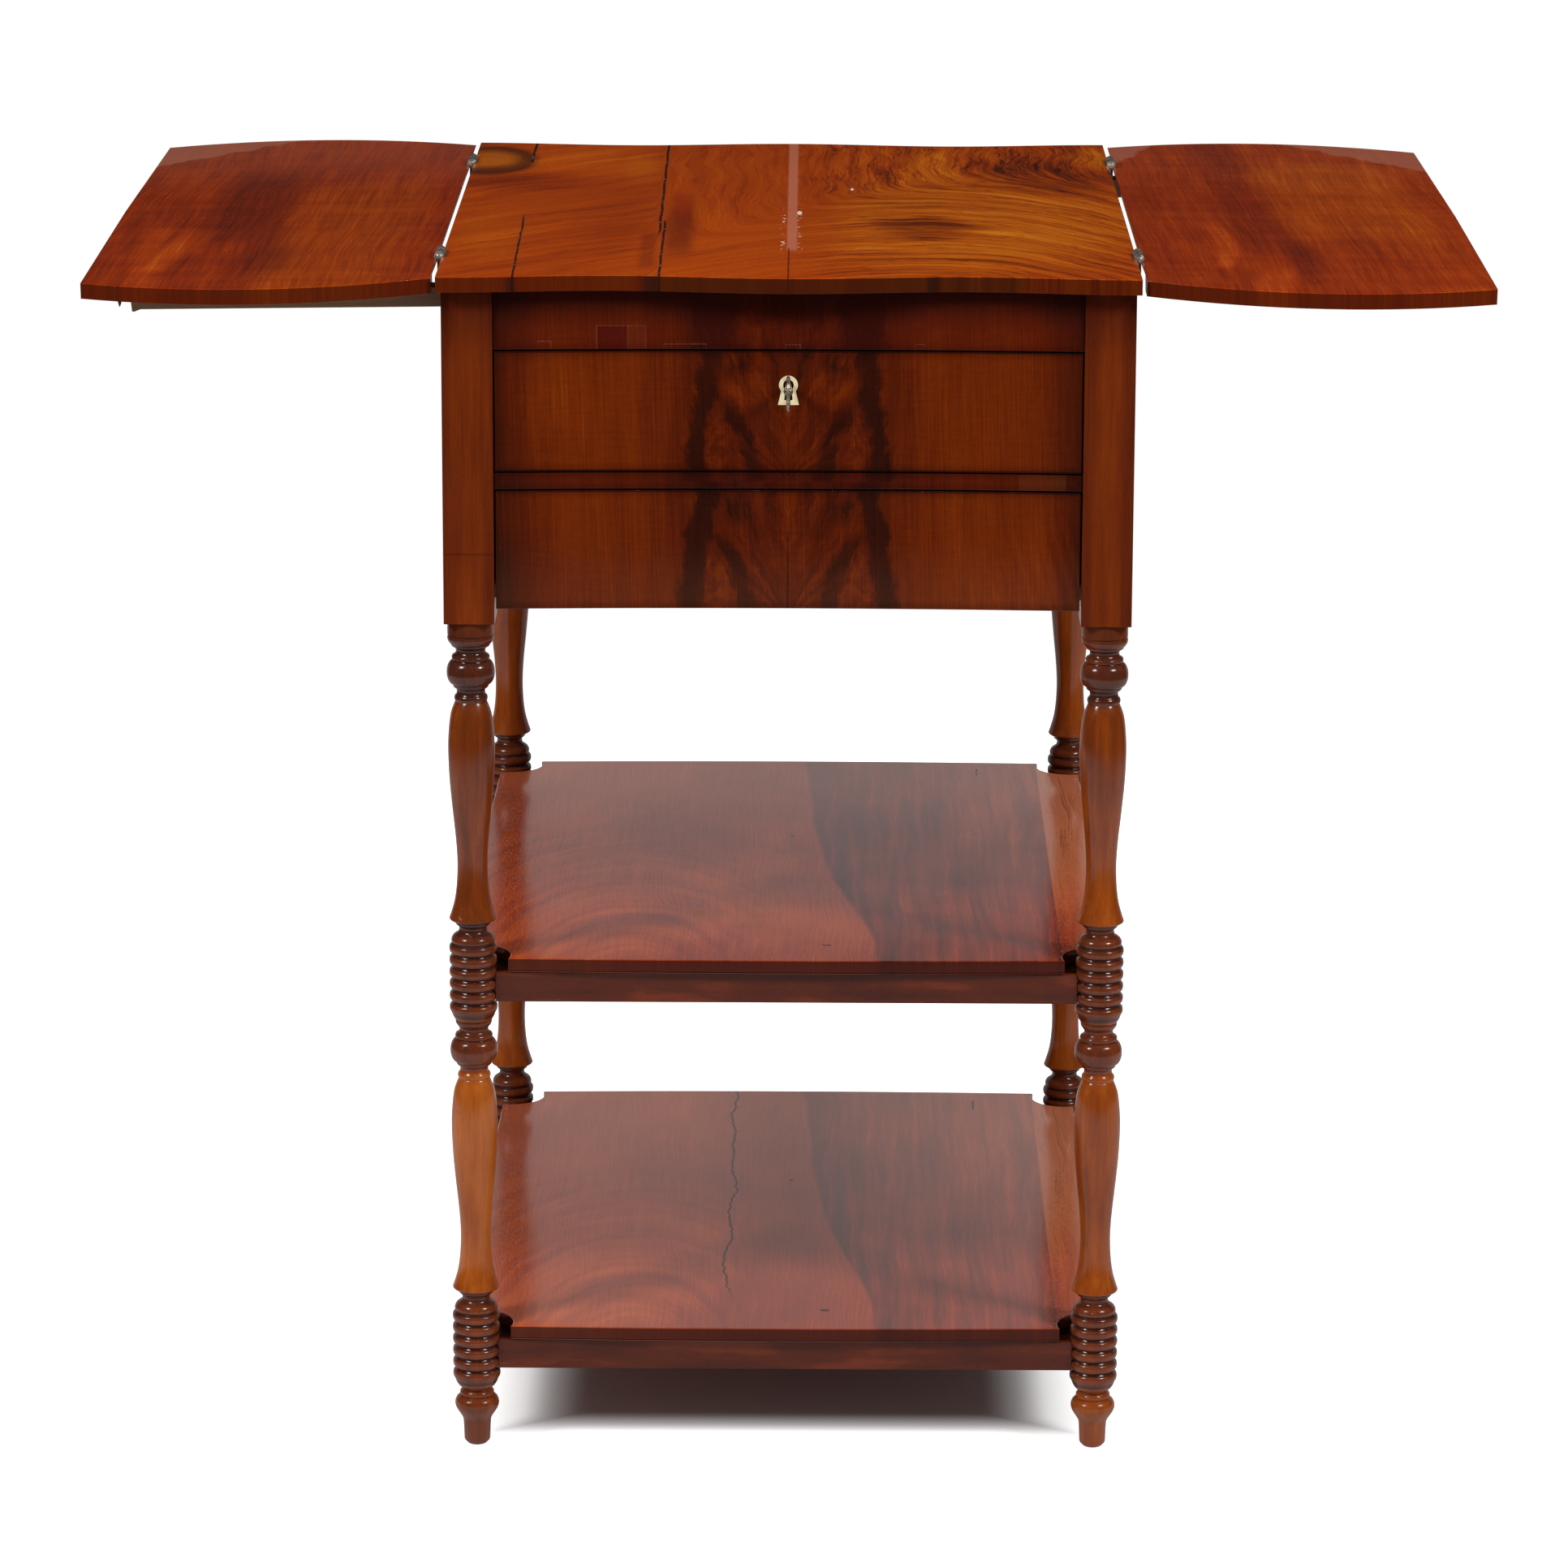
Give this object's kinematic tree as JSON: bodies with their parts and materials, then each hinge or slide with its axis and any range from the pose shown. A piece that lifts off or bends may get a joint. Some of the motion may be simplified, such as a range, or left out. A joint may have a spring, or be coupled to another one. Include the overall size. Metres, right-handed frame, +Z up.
{
  "type": "sewing table",
  "caption": "Small work table on turned legs with fold-over leaves on pull-out lopers, locking fitted drawer, second drawer and open shelves.",
  "frame": {"origin": "on the floor, in the middle between the four legs", "axes": "+X to the right seen from the front, +Y from the front to the back, +Z up"},
  "size_m": [0.852, 0.5846, 0.7535],
  "materials": {
    "top_wood": "french polished mahogany, cracked and worn",
    "leaf_wood": "french polished mahogany",
    "case_wood": "french polished figured veneer",
    "leg_wood": "polished turned hardwood",
    "shelf_wood": "glossy polished mahogany",
    "rail_wood": "polished dark mahogany",
    "inner_wood": "planed, unfinished",
    "loper_wood": "worn, unfinished",
    "hinge_steel": "dull, tarnished",
    "key_steel": "dark, worn",
    "lock_brass": "dull, aged",
    "bone": "polished bone, yellowed"
  },
  "bodies": {
    "case": {"top_panel": "top_wood", "hinge_left_front_top_plate": "hinge_steel", "hinge_left_back_top_plate": "hinge_steel", "hinge_right_front_top_plate": "hinge_steel", "hinge_right_back_top_plate": "hinge_steel", "hinge_left_front_pin": "hinge_steel", "hinge_left_back_pin": "hinge_steel", "hinge_right_front_pin": "hinge_steel", "hinge_right_back_pin": "hinge_steel", "side_apron_left": "case_wood", "side_apron_right": "case_wood", "loper_bearer_front": "inner_wood", "loper_bearer_back": "inner_wood", "leg_front_left": "leg_wood", "leg_front_right": "leg_wood", "leg_back_left": "leg_wood", "leg_back_right": "leg_wood", "frieze": "case_wood", "drawer_rail": "case_wood", "back_panel": "case_wood", "upper_runner_left": "inner_wood", "upper_runner_right": "inner_wood", "lower_runner_left": "inner_wood", "lower_runner_right": "inner_wood", "upper_shelf": "shelf_wood", "lower_shelf": "shelf_wood", "upper_shelf_rail_front": "rail_wood", "upper_shelf_rail_back": "rail_wood", "upper_shelf_rail_left": "rail_wood", "upper_shelf_rail_right": "rail_wood", "lower_shelf_rail_front": "rail_wood", "lower_shelf_rail_back": "rail_wood", "lower_shelf_rail_left": "rail_wood", "lower_shelf_rail_right": "rail_wood"},
    "leaf_left": {"leaf_left": "leaf_wood", "hinge_left_front_leaf_plate": "hinge_steel", "hinge_left_back_leaf_plate": "hinge_steel"},
    "leaf_right": {"leaf_right": "leaf_wood", "hinge_right_front_leaf_plate": "hinge_steel", "hinge_right_back_leaf_plate": "hinge_steel"},
    "loper_left": {"loper_left": "loper_wood", "loper_left_stop_peg": "inner_wood"},
    "loper_right": {"loper_right": "loper_wood", "loper_right_stop_peg": "inner_wood"},
    "upper_drawer": {"upper_drawer_front": "case_wood", "upper_drawer_side_left": "inner_wood", "upper_drawer_side_right": "inner_wood", "upper_drawer_back": "inner_wood", "upper_drawer_bottom": "inner_wood", "upper_drawer_divider_cross": "inner_wood", "upper_drawer_divider_long": "inner_wood", "escutcheon": "bone", "lock_case": "lock_brass"},
    "lower_drawer": {"lower_drawer_front": "case_wood", "lower_drawer_side_left": "inner_wood", "lower_drawer_side_right": "inner_wood", "lower_drawer_back": "inner_wood", "lower_drawer_bottom": "inner_wood"},
    "key": {"key": "key_steel"},
    "lock_bolt": {"lock_bolt": "lock_brass"}
  },
  "joints": [
    {"name": "leaf_left_fold", "type": "hinge", "parent": "case", "child": "leaf_left", "pos_m": [-0.2135, 0, 0.7503], "axis": [0, 1, 0], "range_deg": [0, 180.9]},
    {"name": "leaf_right_fold", "type": "hinge", "parent": "case", "child": "leaf_right", "pos_m": [0.2135, 0, 0.7503], "axis": [0, -1, 0], "range_deg": [0, 180.9]},
    {"name": "loper_left_slide", "type": "slide", "parent": "case", "child": "loper_left", "axis": [-1, 0, 0], "range_m": [-0.1925, 0]},
    {"name": "loper_right_slide", "type": "slide", "parent": "case", "child": "loper_right", "axis": [1, 0, 0], "range_m": [-0.1925, 0]},
    {"name": "upper_drawer_slide", "type": "slide", "parent": "case", "child": "upper_drawer", "axis": [0, -1, 0], "range_m": [0, 0.28]},
    {"name": "lower_drawer_slide", "type": "slide", "parent": "case", "child": "lower_drawer", "axis": [0, -1, 0], "range_m": [0, 0.28]},
    {"name": "key_turn", "type": "hinge", "parent": "upper_drawer", "child": "key", "pos_m": [0, -0.2765, 0.6815], "axis": [0, 1, 0], "range_deg": [0, 180]},
    {"name": "bolt_slide", "type": "slide", "parent": "upper_drawer", "child": "lock_bolt", "axis": [0, 0, 1], "range_m": [0, 0.006]}
  ],
  "couplings": [
    {"joint": "bolt_slide", "follows": "key_turn", "m_per_rad": 0.0019098}
  ]
}
